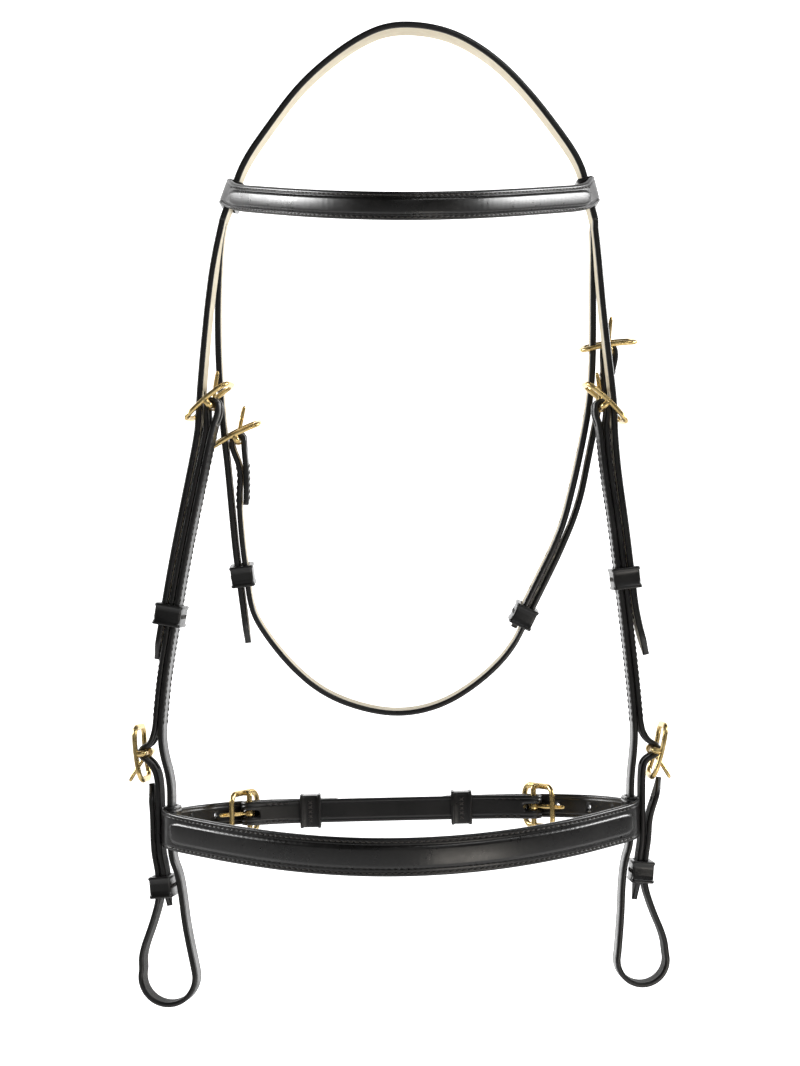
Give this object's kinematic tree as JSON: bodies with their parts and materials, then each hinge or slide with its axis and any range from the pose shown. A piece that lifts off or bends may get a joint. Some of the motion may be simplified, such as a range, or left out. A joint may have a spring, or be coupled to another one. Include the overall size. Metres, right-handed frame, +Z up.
{
  "type": "snaffle bridle",
  "caption": "Leather headstall with padded browband and noseband, throatlash, buckled cheekpieces and loops for the bit rings",
  "frame": {"origin": "the underside of the headpiece at its highest point, where it rests on the poll", "axes": "+X to the right as seen from the front, +Y to the rear of the head, +Z up"},
  "size_m": [0.2782, 0.1862, 0.5026],
  "materials": {
    "leather": "smooth black bridle leather, waxed grain side and burnished edges",
    "padding": "soft black leather drawn over a padded roll, satin",
    "brass": "polished solid brass"
  },
  "bodies": {
    "harness": {"headpiece": "leather", "cheekpiece_left": "leather", "cheekpiece_right": "leather", "throatlash": "leather", "bit_keeper_left": "leather", "bit_keeper_right": "leather"},
    "browband": {"browband_strap": "leather", "browband_roll": "padding"},
    "noseband": {"noseband_strap": "leather", "noseband_roll": "padding", "jaw_strap": "leather", "jaw_keeper_left": "leather", "jaw_keeper_right": "leather"},
    "cheek_frame_left": {"cheek_buckle_left": "brass"},
    "cheek_tongue_left": {"cheek_tongue_left": "brass"},
    "throat_frame_left": {"throat_buckle_left": "brass"},
    "throat_tongue_left": {"throat_tongue_left": "brass"},
    "bit_frame_left": {"bit_buckle_left": "brass"},
    "bit_tongue_left": {"bit_tongue_left": "brass"},
    "jaw_frame_left": {"jaw_buckle_left": "brass"},
    "jaw_tongue_left": {"jaw_tongue_left": "brass"},
    "cheek_runner_left": {"cheek_runner_left": "leather"},
    "throat_runner_left": {"throat_runner_left": "leather"},
    "cheek_frame_right": {"cheek_buckle_right": "brass"},
    "cheek_tongue_right": {"cheek_tongue_right": "brass"},
    "throat_frame_right": {"throat_buckle_right": "brass"},
    "throat_tongue_right": {"throat_tongue_right": "brass"},
    "bit_frame_right": {"bit_buckle_right": "brass"},
    "bit_tongue_right": {"bit_tongue_right": "brass"},
    "jaw_frame_right": {"jaw_buckle_right": "brass"},
    "jaw_tongue_right": {"jaw_tongue_right": "brass"},
    "cheek_runner_right": {"cheek_runner_right": "leather"},
    "throat_runner_right": {"throat_runner_right": "leather"}
  },
  "joints": [
    {"name": "cheek_buckle_left_swing", "type": "hinge", "parent": "harness", "child": "cheek_frame_left", "pos_m": [-0.098, -0.00665, -0.1924], "axis": [-0.1392, -0.9903, 0], "range_deg": [-25, 5]},
    {"name": "cheek_tongue_left_lift", "type": "hinge", "parent": "cheek_frame_left", "child": "cheek_tongue_left", "pos_m": [-0.098, -0.00665, -0.1924], "axis": [-0.1392, -0.9903, 0], "range_deg": [-14, 8]},
    {"name": "cheek_buckle_right_swing", "type": "hinge", "parent": "harness", "child": "cheek_frame_right", "pos_m": [0.1, -0.00665, -0.1931], "axis": [-0.0698, 0.9976, 0], "range_deg": [-25, 4]},
    {"name": "cheek_tongue_right_lift", "type": "hinge", "parent": "cheek_frame_right", "child": "cheek_tongue_right", "pos_m": [0.1, -0.00665, -0.1931], "axis": [-0.0698, 0.9976, 0], "range_deg": [-5, 6]},
    {"name": "throat_buckle_left_swing", "type": "hinge", "parent": "harness", "child": "throat_frame_left", "pos_m": [-0.0866, 0.01894, -0.20896], "axis": [0, -0.9945, -0.1045], "range_deg": [-25, 12]},
    {"name": "throat_tongue_left_lift", "type": "hinge", "parent": "throat_frame_left", "child": "throat_tongue_left", "pos_m": [-0.0866, 0.01894, -0.20896], "axis": [0, -0.9945, -0.1045], "range_deg": [-24, 14]},
    {"name": "throat_buckle_right_swing", "type": "hinge", "parent": "harness", "child": "throat_frame_right", "pos_m": [0.1056, 0.01413, -0.16321], "axis": [0, -0.9945, -0.1045], "range_deg": [-20, 10]},
    {"name": "throat_tongue_right_lift", "type": "hinge", "parent": "throat_frame_right", "child": "throat_tongue_right", "pos_m": [0.1056, 0.01413, -0.16321], "axis": [0, -0.9945, -0.1045], "range_deg": [-45, 10]},
    {"name": "bit_buckle_left_swing", "type": "hinge", "parent": "harness", "child": "bit_frame_left", "pos_m": [-0.13167, -0.00192, -0.3696], "axis": [0.1392, 0.9903, 0], "range_deg": [-12, 20]},
    {"name": "bit_tongue_left_lift", "type": "hinge", "parent": "bit_frame_left", "child": "bit_tongue_left", "pos_m": [-0.13167, -0.00192, -0.3696], "axis": [0.1392, 0.9903, 0], "range_deg": [-12, 45]},
    {"name": "bit_buckle_right_swing", "type": "hinge", "parent": "harness", "child": "bit_frame_right", "pos_m": [0.12574, -0.00485, -0.3676], "axis": [0.0698, -0.9976, 0], "range_deg": [-4, 2]},
    {"name": "bit_tongue_right_lift", "type": "hinge", "parent": "bit_frame_right", "child": "bit_tongue_right", "pos_m": [0.12574, -0.00485, -0.3676], "axis": [0.0698, -0.9976, 0], "range_deg": [-6, 45]},
    {"name": "jaw_buckle_left_swing", "type": "hinge", "parent": "noseband", "child": "jaw_frame_left", "pos_m": [-0.08208, 0.0457, -0.40546], "axis": [0.0227, 0, -0.9997], "range_deg": [-20, 4]},
    {"name": "jaw_tongue_left_lift", "type": "hinge", "parent": "jaw_frame_left", "child": "jaw_tongue_left", "pos_m": [-0.08208, 0.0457, -0.40546], "axis": [0.0227, 0, -0.9997], "range_deg": [-7, 3]},
    {"name": "jaw_buckle_right_swing", "type": "hinge", "parent": "noseband", "child": "jaw_frame_right", "pos_m": [0.06818, 0.0475, -0.40205], "axis": [-0.0227, 0, 0.9997], "range_deg": [-20, 6]},
    {"name": "jaw_tongue_right_lift", "type": "hinge", "parent": "jaw_frame_right", "child": "jaw_tongue_right", "pos_m": [0.06818, 0.0475, -0.40205], "axis": [-0.0227, 0, 0.9997], "range_deg": [-7, 6]},
    {"name": "cheek_runner_left_slide", "type": "slide", "parent": "harness", "child": "cheek_runner_left", "axis": [0.1651, -0.0232, 0.986], "range_m": [-0.008, 0.008]},
    {"name": "cheek_runner_right_slide", "type": "slide", "parent": "harness", "child": "cheek_runner_right", "axis": [-0.1181, -0.0083, 0.993], "range_m": [-0.003, 0.008]},
    {"name": "throat_runner_left_slide", "type": "slide", "parent": "harness", "child": "throat_runner_left", "axis": [-0.1253, -0.1037, 0.9867], "range_m": [-0.004, 0.004]},
    {"name": "throat_runner_right_slide", "type": "slide", "parent": "harness", "child": "throat_runner_right", "axis": [0.4368, -0.094, 0.8946], "range_m": [-0.004, 0.012]},
    {"name": "noseband_height", "type": "slide", "parent": "harness", "child": "noseband", "axis": [0, 0, 1], "range_m": [-0.002, 0.0005]},
    {"name": "browband_height", "type": "slide", "parent": "harness", "child": "browband", "axis": [0, 0, 1], "range_m": [-0.001, 0.002]}
  ]
}
